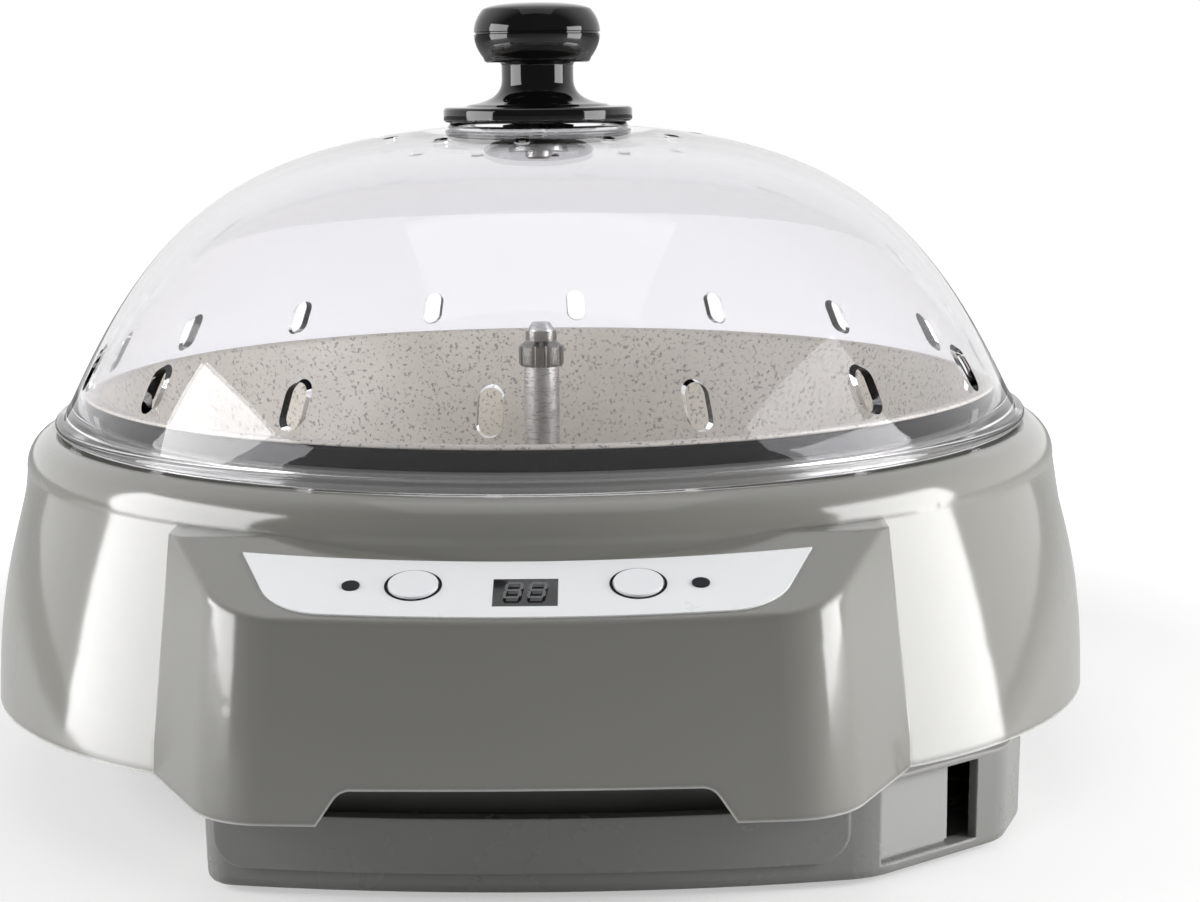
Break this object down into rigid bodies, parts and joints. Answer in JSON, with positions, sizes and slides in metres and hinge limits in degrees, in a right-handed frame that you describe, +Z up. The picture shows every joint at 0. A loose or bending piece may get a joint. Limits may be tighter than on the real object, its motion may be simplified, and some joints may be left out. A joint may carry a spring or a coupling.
{
  "type": "home coffee bean roaster",
  "caption": "Countertop bean roaster with a lift-off clear dome, a stirred non-stick pan and a sloping button panel.",
  "frame": {"origin": "centre of the bounding box in plan, at the underside of the feet", "axes": "+Z up, the control panel faces -Y, +X to the right seen from the front"},
  "size_m": [0.3234, 0.3477, 0.2249],
  "materials": {
    "shell_grey": "glossy warm grey",
    "base_grey": "satin cooler grey",
    "panel_white": "satin white",
    "button_white": "satin white with a dark ring",
    "display_black": "smoked window",
    "lamp": "dark unlit lamp",
    "dome_clear": "clear",
    "knob_black": "polished black",
    "brass": "turned brass",
    "steel": "zinc plated",
    "nonstick": "speckled non-stick coating",
    "ring_black": "heat resistant black",
    "clip_grey": "satin",
    "reflector_steel": "bright sheet",
    "heater_steel": "heat-tinted tube",
    "motor_steel": "plated can",
    "board_green": "solder mask",
    "rubber_black": "matte"
  },
  "bodies": {
    "housing": {"upper_shell": "shell_grey", "base_tray": "base_grey", "side_vent_panel": "base_grey", "rubber_feet": "rubber_black", "base_screws": "steel", "cord_gland": "rubber_black", "roasting_pan": "nonstick", "pan_ring": "ring_black", "pan_clips": "clip_grey", "shaft_bush": "brass", "bush_nut": "brass", "heat_reflector": "reflector_steel", "heating_element": "heater_steel", "element_clips": "steel", "thermostat": "steel", "thermal_fuse": "steel", "gear_motor": "motor_steel", "motor_bracket": "steel", "bracket_screws": "steel", "control_panel": "panel_white", "display_window": "display_black", "display_module": "display_black", "power_led": "lamp", "working_led": "lamp", "control_board": "board_green", "board_screws": "steel"},
    "lid": {"dome_lid": "dome_clear", "knob": "knob_black", "knob_insert": "brass", "knob_washer": "steel", "knob_screw": "steel"},
    "stirrer": {"stirrer_hub": "steel", "stirrer_arms": "steel", "thumb_nut": "brass", "drive_shaft": "steel", "shaft_coupling": "steel", "motor_shaft": "steel"},
    "on_off": {"on_off_button": "button_white"},
    "timer": {"timer_button": "button_white"}
  },
  "joints": [
    {"name": "lid_lift", "type": "slide", "parent": "housing", "child": "lid", "axis": [0, 0, 1], "range_m": [0, 0.12]},
    {"name": "stirrer_spin", "type": "hinge", "parent": "housing", "child": "stirrer", "pos_m": [0, 0.01225, 0.05], "axis": [0, 0, 1], "continuous": true},
    {"name": "on_off_press", "type": "slide", "parent": "housing", "child": "on_off", "axis": [0, 0.3305, -0.9438], "range_m": [0, 0.0008], "stiffness_N_per_m": 1500},
    {"name": "timer_press", "type": "slide", "parent": "housing", "child": "timer", "axis": [0, 0.3305, -0.9438], "range_m": [0, 0.0008], "stiffness_N_per_m": 1500}
  ]
}
